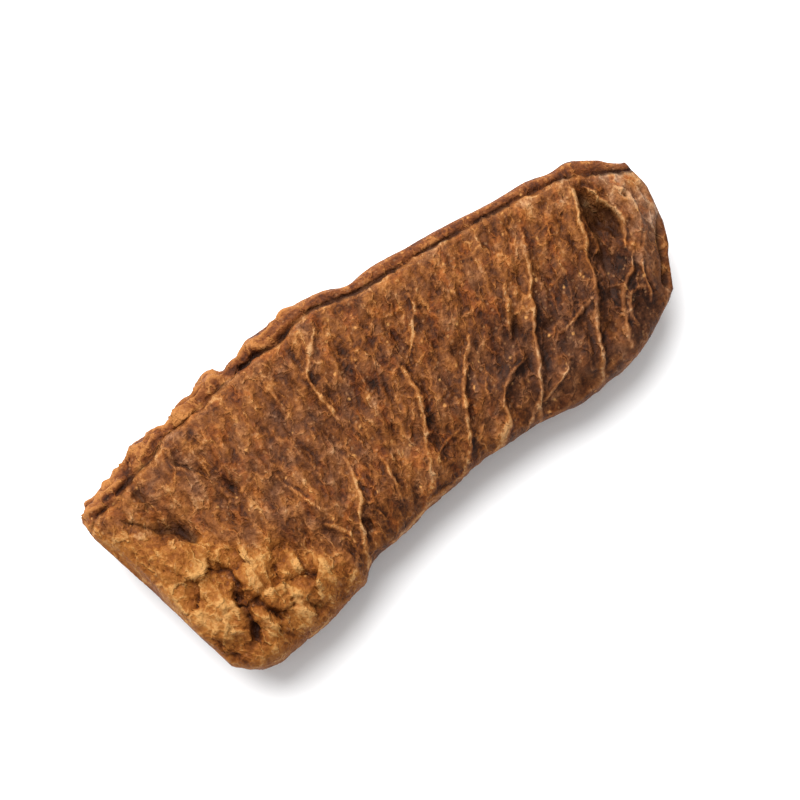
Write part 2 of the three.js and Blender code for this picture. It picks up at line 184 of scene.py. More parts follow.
# Broad hollows and lumps of the valves: [height, x, y, half length, half width]
UPPER_SWELLS = [
    [-2.3, 31.8, 2.4, 1.3, 2.6],
    [0.4, 34.4, 3, 1, 3],
    [-0.7, 29.2, -1.8, 1, 1.8],
    [-1.4, 34.9, 3, 0.3, 0.4],
    [-0.5, 22, -1, 2.4, 2.6],
    [-0.4, 18.6, -5, 1.8, 2.2],
    [-0.45, 28.4, -8, 1.3, 1.8],
    [-0.35, 25.4, -7.6, 1.2, 2],
    [-0.35, 12.6, -8, 1.3, 2],
    [-0.3, 7.8, -7.6, 1.2, 2.2],
    [-0.3, 3.4, -6.6, 1.2, 2.4],
    [-0.7, -24.2, 3.2, 2.6, 2],
    [0.5, -27.2, 0.2, 2, 2.6],
    [0.6, -21.8, -6.4, 1.1, 1.5],
    [0.5, -19, -6.6, 1.4, 1.5],
    [0.5, -20.7, -10.1, 1.1, 1.1],
    [-0.25, -22.3, -8.9, 0.5, 0.5],
    [-0.2, -23.6, -7.1, 0.6, 1.2],
    [-0.25, -26.3, -7.9, 1.4, 0.5],
    [0.4, -25.7, -10.6, 0.8, 2.4],
    [0.3, -22.4, -12.4, 0.9, 1.5],
    [0.3, -16.4, -10.6, 1.6, 1.1],
    [-0.5, -27.9, -6.4, 1, 1.6],
    [0.4, -13, -11.4, 2.6, 1.6],
    [-0.4, -14.8, -7.4, 2, 1.8],
    [0.35, -9, 6, 5, 4],
    [0.3, 12, 5, 5, 4],
]

# Broad lighter and darker patches of the upper valve, partly the skin's own tone and partly painted light
# and shade, such as the lightened side face along the lower margin and the darkened hollow beside the
# main fold: [lightness, x, y, half length, half width]
LIGHT_PATCHES = [
    [1.4, 32.4, 4.6, 0.7, 2.6], [1, 26, 6, 5, 4], [1.2, 15, 8, 5, 3], [-0.8, 21, -1.5, 3, 3],
    [-0.6, 2, 1, 6, 5], [-1.8, 28.6, -4.6, 2, 4], [1.2, 34, -3, 1.5, 2.5], [-0.9, 7, -1, 2.5, 4],
    [-1.2, 17.5, 1, 2.5, 1.5], [0.8, 20, -10, 5, 2.5], [0.7, -12, 4.5, 4.5, 4], [0.9, -6, 9, 5, 3],
    [0.6, -10, -5, 4, 4], [0.4, -16, 9, 4, 3], [0.8, -18.6, 3, 1.4, 1.8], [0.5, -22, 6.5, 4, 2.6],
    [-1.3, -20, 0, 3, 2.2], [0.8, -14, 1, 1.5, 4], [0.7, -25, -3.4, 2.5, 1.2],
    [-1.7, -24.6, 1.8, 1.6, 1.8], [-0.7, 25.4, -6.6, 1.4, 2], [-0.9, -13.6, -9.6, 1.5, 1.2],
    [-0.7, -5, -2, 1.3, 2.4], [0.6, 4, -5, 1.2, 1.5], [-0.6, 24, 0, 7, 3],
    [0.7, 12.5, 7.5, 2.2, 2.5], [0.7, 7, 9, 1.6, 2.2], [1.2, 20.5, -11.5, 5, 1.2],
]

# Middles of the angular lumps in the crumpled corner, each with the depth of the grooves round it
CORNER_LUMPS = [
    [-21.8, -6.5, 1], [-19.4, -6.6, 0.8], [-17.3, -7.1, 0.5], [-20.7, -10.1, 1], [-17.7, -10.4, 0.6],
    [-23, -10.9, 1], [-25.6, -10.5, 0.9], [-24.9, -5.3, 1], [-20.3, -13, 0.6], [-23, -14.8, 0.6],
    [-26.2, -13.8, 0.4], [-22, -2.6, 0.5], [-19.2, -3, 0.4], [-14.8, -7.4, 0.4], [-15.4, -12, 0.4],
    [-17, -14.8, 0.3], [-28.6, -8, 0.4], [-28.4, -3.5, 0.1], [-25.6, -1, 0.1], [-16, -4, 0.3],
    [-28.8, 2.4, 0], [-13, -15, 0], [-13, -9.6, 0.1],
]
GROOVE_WIDTH = 0.22
GROOVE_DEPTH = 0.4
SHOULDER_WIDTH = 0.7
SHOULDER_DEPTH = 0.22
LUMP_TILT = 0.3

# A vein's section: half widths of its crest, its foot, the step beside it and the line of its crest
CREST_WIDTH = 0.24
FOOT_WIDTH = 0.65
STEP_WIDTH = 0.8
LINE_WIDTH = 0.2

LOWER_VEIN_COUNT = 11
LOWER_VEIN_STEP = 5.8
LOWER_VEIN_RISE = 0.45
LOWER_SWELLS = [
    [1.05, -1, -0.5, 9, 5],
    [0.7, -22, -3, 4, 5],
    [-0.6, -27, 5, 2, 3],
    [0.6, -4, 1, 6, 5],
    [0.5, 12, -1, 5, 4],
    [-0.8, 30, 1, 2, 4],
    [-0.5, 4, 8, 4, 2],
]
WAVES = [[0.22, 0.42, 0.25, 0.4], [0.16, 0.75, -0.45, 1.9], [0.12, 0.3, 0.85, 3.1]]

# Ripples across the pod, between the veins, and knobs of the rim towards the left end
RIPPLE_RISE = 0.15
RIPPLE_STEP = 3.1
KNOB_RISE = 0.18
KNOB_STEP = 3.6

# How lines and the borders of zones wander: [seed, reach, size]
VEIN_SWAY = (1, 0.35, 2.2)
VEIN_TREMOR = (3, 0.16, 0.7)
LOWER_VEIN_SWAY = (5, 0.5, 3)
LOWER_VEIN_TREMOR = (7, 0.16, 0.7)
PALE_SWAY = (11, 1.6, 2.6)
GREY_SWAY = (13, 1.8, 4)
LUMP_SWAY = (15, 0.4, 1.4)
WORN_SWAY = (17, 0.6, 1.4)

# Zones of the upper valve: [x, y, half length, half width]
GREY_MIDDLE = (-10, 3, 9, 6)
GREY_UPPER_LEFT = (-23, 6.5, 5.5, 3.5)
CREASED_UPPER_LEFT = (-23, 6, 7, 4)
LUMPS_ZONE = (-21, -9, 5, 4.5)
PALE_BORDER = [
    [-31, 6.5], [-28.7, 4.6], [-23.4, 0], [-21, -2.4], [-16.8, -4.8], [-14.6, -8], [-11, -14],
]

# Noise patterns of the dried skin: [seed, size along the pod, across it, through it]
SWAY_ALONG = (21, 2, 2, 2)
SWAY_ACROSS = (31, 2, 2, 2)
SKIN_SWAY = 0.6
STREAKS = (22, 1.5, 5, 4)
DIMPLES = (23, 2.2, 2.6, 2.4)
CREASES = (24, 1.1, 1.6, 1.5)
WORMS = (26, 0.75, 1.3, 1.2)
WORM_PATCHES = (28, 1.3, 1.7, 1.5)
FACETS = (33, 1.3, 2.6, 2.4)
LEFT_CREASES = (47, 2, 2.8, 2)
CORNER_FACETS = (35, 2.2, 2.4, 2.4)
CORNER_CHIPS = (37, 1.1, 1.2, 1.2)
CORNER_CREASES = (41, 3, 3, 3)
CORNER_WRINKLES = (43, 1.3, 1.3, 1.3)
CORD_FOLDS = (27, 5, 1.2, 1.2)
CORD_WRINKLES = (45, 2.4, 1, 1)
CORD_RIDGES = (49, 4.5, 1.3, 1.3)
CORD_LUMPS = (29, 2.4, 0.6, 0.6)
LIGHT_STREAKS = (51, 2.6, 7, 6)

# Steps of the fine skin along the pod, across it and through its thickness
STEPS_ALONG = 356
STEPS_ACROSS = 106
STEPS_THROUGH = 24


# What the finish reads of each point of the skin
FINISH_MARKS = ("height", "line", "vein_side_shade", "fold", "rim", "lip", "groove", "pale", "grey", "worn")


# Smooth forms of the pod
def curve_through(points):
    """A smooth curve through [place, value] points; each slope is the mean of its neighbours'."""
    place, value = np.array(points, float).T
    slope = np.diff(value) / np.diff(place)
    tangent = np.concatenate(([0], (slope[1:] + slope[:-1]) / 2, [0]))

    def at(x):
        x = np.clip(x, place[0], place[-1])
        i = np.clip(np.searchsorted(place, x) - 1, 0, len(place) - 2)
        span = place[i + 1] - place[i]
        p = (x - place[i]) / span
        start = (1 + 2 * p) * (1 - p) ** 2 * value[i] + p * (1 - p) ** 2 * span * tangent[i]
        end = p * p * (3 - 2 * p) * value[i + 1] + p * p * (p - 1) * span * tangent[i + 1]
        return start + end

    return at


rim_edge = curve_through(RIM_EDGE)
valve_lip = curve_through(VALVE_LIP)
lower_margin = curve_through(LOWER_MARGIN)
left_end = curve_through(LEFT_END)
right_end = curve_through(RIGHT_END)
half_thickness = curve_through(HALF_THICKNESS)
middle_rise = curve_through(MIDDLE_RISE)


def mix(a, b, share):
    return a + (b - a) * share


def smooth_step(x, low, high):
    share = np.clip((x - low) / (high - low), 0, 1)
    return share * share * (3 - 2 * share)


def bell(distance, width):
    """1 where the distance is 0, fading out on both sides of it over the width."""
    return np.exp(-((distance / width) ** 2))


def spot(x, y, cx, cy, half_length, half_width):
    """1 at (cx, cy), fading out round it."""
    return np.exp(-(((x - cx) / half_length) ** 2) - ((y - cy) / half_width) ** 2)


def rounded(path):
    """The path with its corners cut off."""
    places = [path[0]]
    for (ax, ay), (bx, by) in zip(path, path[1:]):
        places += [[mix(ax, bx, 0.25), mix(ay, by, 0.25)], [mix(ax, bx, 0.75), mix(ay, by, 0.75)]]
    return places + [path[-1]]


def follow(x, y, path):
    """How each point lies to a path of straight stretches: how far away, on which side (1 is the
    left hand of one who walks along it), and how far along from its start and from its end."""
    nearest = np.full(np.shape(x), np.inf)
    side = np.zeros_like(nearest)
    along = np.zeros_like(nearest)
    start = 0
    for (ax, ay), (bx, by) in zip(path, path[1:]):
        length = math.dist((ax, ay), (bx, by))
        share = np.clip(((x - ax) * (bx - ax) + (y - ay) * (by - ay)) / length ** 2, 0, 1)
        gap = np.hypot(x - ax - share * (bx - ax), y - ay - share * (by - ay))
        closer = gap < nearest
        nearest = np.where(closer, gap, nearest)
        side = np.where(closer, np.sign((bx - ax) * (y - ay) - (by - ay) * (x - ax)), side)
        along = np.where(closer, start + share * length, along)
        start += length
    return nearest, side, along, start - along


def swells(x, y, rows):
    height = np.zeros_like(x)
    for rise, *place in rows:
        height += rise * spot(x, y, *place)
    return height


def waves(x, y):
    return sum(rise * np.sin(kx * x + ky * y + phase) for rise, kx, ky, phase in WAVES)


def ripples(x, y):
    sway = 1.3 * np.sin(y / 2.6 + x / 4.3) + 0.8 * np.sin(y / 1.4 - x / 2.9)
    share = 0.65 + 0.35 * np.sin(x / 3.7 - y / 4.1)
    return RIPPLE_RISE * share * np.sin(2 * math.pi * x / RIPPLE_STEP + sway)


def noise_at(x, y, z, seed):
    """Perlin noise from about -1 to 1 at each point; the seed moves the pattern."""
    shift = 17.3 * seed
    return np.array([noise.noise((a + shift, b - shift, c)) for a, b, c in zip(x, y, z)])


def wander(x, y, seed, reach, size):
    """Moves points a little sideways, so that straight stretches on them look grown."""
    zero = np.zeros_like(x)
    dx = noise_at(x / size, y / size, zero, seed)
    dy = noise_at(x / size, y / size, zero, seed + 1)
    return x + reach * dx, y + reach * dy


def cells(x, y, z, seed):
    """Scattered cells: 0 on the border between two, rising inwards, and each cell's own tilt."""
    shift = 17.3 * seed
    border = np.zeros_like(x)
    tilt = np.zeros_like(x)
    for i, point in enumerate(zip(x + shift, y - shift, z)):
        gaps, places = noise.voronoi(point)
        border[i] = gaps[1] - gaps[0]
        middle = places[0]
        turn = 40 * (middle[0] + 1.7 * middle[1] + 2.3 * middle[2])
        tilt[i] = (point[0] - middle[0]) * math.cos(turn) + (point[1] - middle[1]) * math.sin(turn)
    return border, tilt


def corner_lumps(x, y):
    """Angular lumps that meet in sharp grooves: the grooves and the wider shoulders beside them, both
    from 0 to 1, and each lump's tilt."""
    sites = np.array(CORNER_LUMPS)
    away = np.stack([np.hypot(x - sx, y - sy) for sx, sy, _ in sites])
    nearest = away.argmin(0)
    own_x, own_y, own_depth = sites[nearest].T
    groove = np.zeros_like(x)
    shoulder = np.zeros_like(x)
    for index, (sx, sy, depth) in enumerate(sites):
        dx = sx - own_x
        dy = sy - own_y
        span = np.maximum(np.hypot(dx, dy), 1e-6)
        gap = (((own_x + sx) / 2 - x) * dx + ((own_y + sy) / 2 - y) * dy) / span
        share = np.where(nearest == index, 0, np.minimum(own_depth, depth))
        groove = np.maximum(groove, share * np.exp(-np.maximum(gap, 0) / GROOVE_WIDTH))
        shoulder = np.maximum(shoulder, share * np.exp(-np.maximum(gap, 0) / SHOULDER_WIDTH))
    turn = 2.4 * nearest
    tilt = (x - own_x) * np.cos(turn) + (y - own_y) * np.sin(turn)
    return groove, shoulder, LUMP_TILT * tilt


def vein_set(x, y, rows):
    """Veins on one valve: their height, how far the nearest one's line is, and a mark for painted shade
    and
    light beside them: 1 on the side of a vein that is painted shaded, -1 on the side that is painted lit."""
    height = np.zeros_like(x)
    line = np.full_like(x, 9)
    vein_side_shade = np.zeros_like(x)
    weakness = np.zeros_like(x)
    for rise, path in rows:
        gap, side, along, left = follow(x, y, rounded(path))
        fade = rise * (0.15 + 0.85 * smooth_step(np.minimum(along, left), -0.3, 2.6))
        ridge = 0.55 * bell(gap, CREST_WIDTH) + 0.4 * bell(gap, FOOT_WIDTH)
        step = side * bell(gap, STEP_WIDTH) * (1 - bell(gap, LINE_WIDTH))
        closer = gap < line
        vein_side_shade = np.where(closer, step * np.minimum(fade / 0.4, 1), vein_side_shade)
        line = np.where(closer, gap, line)
        faint = 0.16 * (1 - np.minimum(fade / 0.35, 1)) + 0.2 * (1 - min(rise / 0.3, 1))
        weakness = np.where(closer, faint, weakness)
        height = np.maximum(height, fade * (ridge - 0.25 * step))
    return height, line + weakness, vein_side_shade


def lower_vein(index):
    """The path of one of the lower valve's veins, which stand in a slightly uneven row."""
    middle = (index - (LOWER_VEIN_COUNT - 1) / 2) * LOWER_VEIN_STEP + 1.3 * math.sin(2.1 * index)
    bend = 0.9 * math.sin(3.7 * index)
    return [[middle + 3.4, 9], [middle + 1.2 + bend, 3], [middle - 1.4, -4], [middle - 3.6 - bend, -11]]


def upper_forms(x, y):
    """The upper valve's veins (height, distance and the painted shade and light of their sides), the
    painted shade in its folds and its relief.
    """
    wx, wy = wander(x, y, *VEIN_SWAY)
    wx, wy = wander(wx, wy, *VEIN_TREMOR)
    veins, line, vein_side_shade = vein_set(wx, wy, UPPER_VEINS + THIN_VEINS)
    folds = np.zeros_like(x)
    shade = np.zeros_like(x)
    for depth, left_width, right_width, path in UPPER_CREASES:
        gap, side, along, left = follow(wx, wy, rounded(path))
        fade = smooth_step(along / (along + left), -0.3, 0.8) * smooth_step(left, -0.4, 0.8)
        reach = gap / np.where(side > 0, left_width, right_width)
        folds = np.maximum(folds, depth * fade * np.exp(-(reach ** 1.3)))
        # Painted shade along each fold, for the finish
        shade = np.maximum(shade, min(depth + 0.2, 1) * fade * np.exp(-((reach / 0.7) ** 1.5)))
    return veins, line, vein_side_shade, shade, veins - folds + swells(x, y, UPPER_SWELLS) + waves(x, y)


def lower_forms(x, y):
    """The lower valve's veins, which follow a rule, and its whole relief."""
    wx, wy = wander(x, y, *LOWER_VEIN_SWAY)
    wx, wy = wander(wx, wy, *LOWER_VEIN_TREMOR)
    rows = [[LOWER_VEIN_RISE, lower_vein(index)] for index in range(LOWER_VEIN_COUNT)]
    veins, line, vein_side_shade = vein_set(wx, wy, rows)
    return veins, line, vein_side_shade, veins + swells(x, y, LOWER_SWELLS) + waves(y, x)


def drawn_back(x, y):
    """Where the upper valve's edge stops short of the lower valve's: 1 where it does so most."""
    at_end = np.exp(-(((y + 5) / 3.6) ** 4)) * smooth_step(x, 30, 33)
    at_margin = 0.5 * np.exp(-(((x - 17) / 4.5) ** 4)) * smooth_step(-y, 9, 11)
    return np.maximum(at_end, at_margin)


def skin(u, v, w):
    """The pod's skin: u runs along it from -1 to 1, and (v, w) round its section, on the edge of a
    square whose side v = 1 is the rim. Gives the points and what the finish needs to know of them."""
    norm = (np.abs(v) ** SECTION_POWER + np.abs(w) ** SECTION_POWER) ** (1 / SECTION_POWER)
    across = np.minimum((v / norm + 1) / (SECTION_CORNER + 1), 1)
    share = (u + 1) / 2
    length = right_end(across) - left_end(across)
    lean = VEIN_LEAN * np.sin(math.pi * share) * share * (across - 0.5)
    x = left_end(across) + length * share + lean
    lip = valve_lip(x)
    body = half_thickness(x)
    knobs = KNOB_RISE * smooth_step(-x, -4, 10) * np.sin(2 * math.pi * x / KNOB_STEP + np.sin(0.6 * x))
    rim_height = RIM_HALF_HEIGHT * body + knobs
    on_rim = v > 1 - 1e-6
    turn = w * RIM_WRAP
    wrap = (np.cos(turn) - math.cos(RIM_WRAP)) / (1 - math.cos(RIM_WRAP))
    y = mix(lower_margin(x), lip, across)
    drop = np.clip((lip - y) / LIP_RADIUS, 0, 1)
    plateau = (1 - VALVE_FALL * v * v) * body
    groove = rim_height * math.sin(RIM_WRAP)
    near_lip = w * mix(groove, plateau, np.sqrt(1 - (1 - drop) ** 2))
    z = np.where(v > 0, near_lip, w / norm * body)
    z = np.where(on_rim, rim_height * np.sin(turn), z)
    lip_gap = lip - y
    y = np.where(on_rim, y + (rim_edge(x) - lip) * wrap + knobs * np.maximum(np.cos(turn), 0), y)
    near = np.clip((1 - np.abs(u)) * length / 2 / END_RADIUS, 0, 1)
    z = z * mix(END_SHARE, 1, np.sqrt(1 - (1 - near) ** 2))

    seen_x = x + SEEN_SHIFT[0] * np.maximum(z, 0)
    seen_y = y + SEEN_SHIFT[1] * np.maximum(z, 0)
    veins, line, vein_side_shade, shade, above = upper_forms(seen_x, seen_y)
    under_veins, under_line, under_vein_side_shade, below = lower_forms(x, y)
    upper = smooth_step(w, -1, 1)
    relief = mix(below, above, upper) + ripples(x - lean, y) * np.abs(w)
    strength = np.where(on_rim, 0, near * (1 - bell(lip_gap, 1)))
    facing = np.where(v < -1 + 1e-6, w * math.pi / 2, np.sign(w) * math.pi / 2)
    drawn = drawn_back(x, y)
    back = DRAWN_BACK * drawn * smooth_step(w, *STEP_EDGE)
    ledge = drawn * (1 - smooth_step(w, *STEP_EDGE))
    crack = drawn * bell(w - CRACK_PLACE, CRACK_WIDTH)
    hollows = np.maximum(-swells(seen_x, seen_y, UPPER_SWELLS), 0)
    at_end = x > STEP_FROM_X
    y = y + np.where(at_end, 0, back) - strength * relief * np.cos(facing)
    z = z + strength * relief * np.sin(facing) + REST_HEIGHT + middle_rise(x) + TWIST * x * y
    marks = {
        "vein": strength * mix(under_veins, veins, upper),
        "line": np.where(w > 0, line, under_line) + 3 * (1 - strength),
        # Painted shade on one side of each vein and painted light on the other
        "vein_side_shade": strength * np.where(w > 0, vein_side_shade, under_vein_side_shade),
        # Painted shade in the folds, in the hollows and along the crack at the step's foot
        "fold": strength * upper * (shade + 0.5 * hollows) + crack,
        "rim": np.where(on_rim, 1, ledge),
        # Painted highlight along the middle of the rim cord
        "cord_highlight": np.where(on_rim, bell(w - RIM_HIGHLIGHT_PLACE, RIM_HIGHLIGHT_WIDTH), 0.4),
        "lip": np.where(on_rim, 0, bell(lip_gap - 0.45, 0.3)),
        # Painted shade in the groove between the rim cord and the valve
        "groove": bell(np.where(on_rim, wrap * 2.2, lip_gap), 0.45),
        "upper": upper,
        "side": 1 - np.abs(w),
        "end": smooth_step(np.abs(u), 0.97, 1),
        "edge": bell(lip_gap, 0.9),
        "lean": lean,
        "seen_x": seen_x,
        "seen_y": seen_y,
        "back": np.where(at_end, back, 0),
    }
    return np.stack([x - np.where(at_end, back, 0), y, z], 1), marks


def pod_points(cube):
    """The pod from a cube whose points run from -1 to 1: four faces are the skin, and the two end
    faces are the blunt ends, where the skin's edge shrinks towards the middle."""
    u, v, w = cube.T
    ring = np.maximum(np.maximum(np.abs(v), np.abs(w)), 1e-4)
    x = mix(left_end(0.5), right_end(0.5), (u + 1) / 2)
    y = (lower_margin(x) + valve_lip(x)) / 2
    middle = np.stack([x + u * END_BULGE, y, REST_HEIGHT + middle_rise(x) + TWIST * x * y], 1)
    edge, marks = skin(u, v / ring, w / ring)
    points = mix(middle, edge, ring[:, None])
    inward = 1 - ring
    out = smooth_step(inward, 0.12, 0.34)
    step = marks["back"] / DRAWN_BACK
    points[:, 0] += marks["back"] * np.where(u > 0, out - inward, 0)
    points[:, 2] -= CRACK_DEPTH * step * smooth_step(inward, 0, 0.1) * (1 - out)
    on_cap = smooth_step(inward, 0, 0.3)
    for name in ("rim", "lip", "groove"):
        marks[name] = marks[name] * (1 - on_cap)
    marks["rim"] = np.maximum(marks["rim"], step * out)
    level = (points[:, 2] - middle[:, 2]) / half_thickness(x)
    marks["upper"] = mix(marks["upper"], smooth_step(level, -0.8, 0.8), on_cap)
    # Painted shade along the crack where the step meets the end
    marks["fold"] += 1.3 * step * bell(inward - 0.12, CRACK_WIDTH) * (inward > 0)
    return points, marks


# The pod's mesh
def cube_mesh(name):
    """A cube from -1 to 1, cut into even steps along each of its three directions."""
    shape = bmesh.new()
    bmesh.ops.create_cube(shape, size=2)
    for axis, steps in enumerate((STEPS_ALONG, STEPS_ACROSS, STEPS_THROUGH)):
        along = [e for e in shape.edges if abs(e.verts[0].co[axis] - e.verts[1].co[axis]) > 1e-6]
        bmesh.ops.subdivide_edges(shape, edges=along, cuts=steps - 1, use_grid_fill=True)
    mesh = bpy.data.meshes.new(name)
    shape.to_mesh(mesh)
    shape.free()
    return mesh


def read_points(mesh):
    flat = np.zeros(len(mesh.vertices) * 3, np.float32)
    mesh.vertices.foreach_get("co", flat)
    return flat.reshape(-1, 3).astype(float)


def write_points(mesh, points):
    mesh.vertices.foreach_set("co", points.astype(np.float32).ravel())
    mesh.update()


def normals_of(mesh):
    flat = np.zeros(len(mesh.vertices) * 3, np.float32)
    mesh.vertex_normals.foreach_get("vector", flat)
    return flat.reshape(-1, 3).astype(float)


def store(mesh, name, values):
    layer = mesh.attributes.new(name, "FLOAT", "POINT")
    layer.data.foreach_set("value", values.astype(np.float32))


def crests(x, y, z, seed):
    """Noise with sharp crests and sharp valleys, as in creased leather, from about -0.7 to 0.7."""
    return np.abs(noise_at(x, y, z, seed)) - np.abs(noise_at(x, y, z, seed + 1))


def ridged(x, y, z, seed):
    """Noise with sharp crests, from 0 in the valleys to 1 on the crests."""
    return 1 - np.minimum(np.abs(noise_at(x, y, z, seed)) * 2.2, 1)


def pale_zone(x, y):
    """How pale the upper valve is, from 0 to 1: most at the crumpled corner of the left end."""
    wx, wy = wander(x, y, *PALE_SWAY)
    place, height = np.array(PALE_BORDER).T
    border = np.interp(wx, place, height, left=20, right=-40)
    corner = smooth_step(border - wy, -2.2, 1.8)
    whole_end = 0.25 * smooth_step(-wx, 16, 29)
    return np.maximum(corner, whole_end)


def worn_zone(x, y):
    """How worn and dusty the end beyond the dent is, from 0 to 1."""
    wx, wy = wander(x, y, *WORN_SWAY)
    return smooth_step(wx - 0.06 * (wy - 3) ** 2, 32.2, 33.6) * smooth_step(wy, -3.5, -0.5)


def grey_zone(x, y):
    """How grey and smooth the upper valve is, from 0 to 1: most between the veins at lower right."""
    wx, wy = wander(x, y, *GREY_SWAY)
    right = smooth_step(wx, 2, 16) * smooth_step(-wy, -3, 3)
    middle = 0.65 * spot(wx, wy, *GREY_MIDDLE)
    upper_left = 0.7 * spot(wx, wy, *GREY_UPPER_LEFT)
    return np.maximum(np.maximum(right, middle), upper_left)


def pattern(kind, points, recipe):
    """One kind of noise over the points, from its seed and sizes."""
    seed, along, across, through = recipe
    x, y, z = points
    return kind(x / along, y / across, z / through, seed)


def corner_relief(bent, seen_x, seen_y, in_corner):
    """Relief of the crumpled corner, and how deep in a groove between its lumps each point lies."""
    groove, shoulder, lump_tilt = corner_lumps(*wander(seen_x, seen_y, *LUMP_SWAY))
    at_lumps = spot(seen_x, seen_y, *LUMPS_ZONE)
    border, tilt = pattern(cells, bent, CORNER_FACETS)
    chip_border, chip_tilt = pattern(cells, bent, CORNER_CHIPS)
    crumple = 0.5 * pattern(crests, bent, CORNER_CREASES) + 0.3 * pattern(crests, bent, CORNER_WRINKLES)
    crumple = crumple + (0.6 * tilt + 0.2 * np.exp(-border / 0.08)) * (1 - 0.6 * at_lumps)
    crumple = crumple + 0.3 * chip_tilt + 0.12 * np.exp(-chip_border / 0.1)
    crumple = crumple * (0.5 + 0.3 * at_lumps) + in_corner * (lump_tilt - SHOULDER_DEPTH * shoulder)
    return crumple, in_corner * groove


def plain_relief(bent, seen_x, seen_y, upper):
    """Relief of the leathery skin: streaks across the pod, creases, facets and dimples."""
    creased = pattern(crests, bent, CREASES)
    border, tilt = pattern(cells, bent, FACETS)
    facets = 0.35 * np.exp(-border / 0.14) + 0.7 * tilt
    plain = 0.45 * pattern(crests, bent, STREAKS) + 0.2 * creased + 0.2 * facets
    plain = plain + 0.1 * pattern(noise_at, bent, DIMPLES)
    upper_left = spot(seen_x, seen_y, *CREASED_UPPER_LEFT) * upper
    return plain + upper_left * (0.3 * pattern(crests, bent, LEFT_CREASES) + 0.15 * creased)


def cord_relief(straight, bent, x, worms):
    """Relief of the rim cord: folds along it towards the left end, and low lumps everywhere."""
    folds = 0.8 * pattern(crests, bent, CORD_FOLDS) + 0.2 * pattern(crests, bent, CORD_WRINKLES)
    folds = folds + 0.35 * pattern(ridged, bent, CORD_RIDGES) ** 2 - 0.1
    return folds * smooth_step(-x, -5, 6) + 0.1 * pattern(noise_at, straight, CORD_LUMPS) + 0.03 * worms


def fine_relief(points, marks):
    """Dried wrinkles over the whole skin, in millimetres along its normals, with the marks of how pale,
    grey and worn it is, and painted shade added where it lies deep in a groove of the corner."""
    x, y, z = points.T
    seen_x = marks["seen_x"]
    seen_y = marks["seen_y"]
    upper = marks["upper"]
    pale = pale_zone(seen_x, seen_y) * upper
    grey = grey_zone(seen_x, seen_y) * upper * (1 - pale)
    worn = worn_zone(seen_x, seen_y) * upper
    straight = (x - marks["lean"], y, z)
    px = straight[0] + SKIN_SWAY * pattern(noise_at, straight, SWAY_ALONG)
    py = y + SKIN_SWAY * pattern(noise_at, straight, SWAY_ACROSS)
    bent = (px, py, z)
    worms = pattern(ridged, bent, WORMS) ** 3
    worms = worms * smooth_step(pattern(noise_at, bent, WORM_PATCHES), -0.15, 0.25)
    crumple, in_groove = corner_relief(bent, seen_x, seen_y, pale * smooth_step(-seen_y, -1, 4))
    plain = plain_relief(bent, seen_x, seen_y, upper)
    body = mix(plain * (1 - 0.4 * grey), crumple, pale) + 0.2 * worms * (1 - 0.5 * grey)
    calm = (1 - 0.85 * np.maximum(marks["side"], marks["end"])) * (1 - 0.4 * marks["edge"])
    on_vein = np.clip(marks["vein"] * 3, 0, 1)
    body = (body - 0.1) * (1 - 0.6 * on_vein) * calm - GROOVE_DEPTH * in_groove
    cord = cord_relief(straight, bent, x, worms) * (1 - 0.9 * marks["end"])
    height = mix(body, cord, marks["rim"])
    # Painted shade in the grooves between the corner's lumps
    marks["fold"] += 0.5 * in_groove
    marks.update(height=height, pale=pale, grey=grey, worn=worn)
    return height


def make_pod():
    mesh = cube_mesh("pod_skin")
    points, marks = pod_points(read_points(mesh))
    write_points(mesh, points)
    height = fine_relief(points, marks)
    points = points + normals_of(mesh) * height[:, None]
    points[:, 2] = np.maximum(points[:, 2], 0)
    low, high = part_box("pod")
    middle = (points.min(0) + points.max(0)) / 2
    centre = (low + high) / 2 / MM
    points[:, :2] += np.array(centre)[:2] - middle[:2]
    write_points(mesh, points * MM)
    mesh.polygons.foreach_set("use_smooth", [True] * len(mesh.polygons))
    unleaned = points.copy()
    unleaned[:, 0] -= marks["lean"]
    grain = mesh.attributes.new("grain", "FLOAT_VECTOR", "POINT")
    grain.data.foreach_set("vector", unleaned.astype(np.float32).ravel())
    # Broad patches, partly painted light and shade, and streaks of tone towards the dent
    light = swells(marks["seen_x"], marks["seen_y"], LIGHT_PATCHES) * marks["upper"]
    towards_dent = smooth_step(unleaned[:, 0], 2, 12)
    marks["light"] = light + 2 * pattern(noise_at, unleaned.T, LIGHT_STREAKS) * towards_dent
    for name in FINISH_MARKS + ("light", "cord_highlight"):
        store(mesh, name, marks[name])
    piece = bpy.data.objects.new("pod_skin", mesh)
    bpy.context.scene.collection.objects.link(piece)
    return piece


# Shader maths as Python expressions
class Value:
    """A node's output socket that adds Math nodes when it is used in an expression."""

    def __init__(self, tree, socket):
        self.tree = tree
        self.socket = socket

    def math(self, operation, *terms):
        node = self.tree.nodes.new("ShaderNodeMath")
        node.operation = operation
        for place, term in enumerate(terms):
            plug(self.tree, node.inputs[place], term)
        return Value(self.tree, node.outputs[0])

    def __add__(self, other):
        return self.math("ADD", self, other)

    def __mul__(self, other):
        return self.math("MULTIPLY", self, other)

    def __sub__(self, other):
        return self.math("SUBTRACT", self, other)

    def __rsub__(self, other):
        return self.math("SUBTRACT", other, self)

    __radd__ = __add__
    __rmul__ = __mul__

    def clamped(self):
        node = self.tree.nodes.new("ShaderNodeClamp")
        plug(self.tree, node.inputs[0], self)
        return Value(self.tree, node.outputs[0])


def plug(tree, socket, term):
    if isinstance(term, Value):
        tree.links.new(term.socket, socket)
    else:
        socket.default_value = term


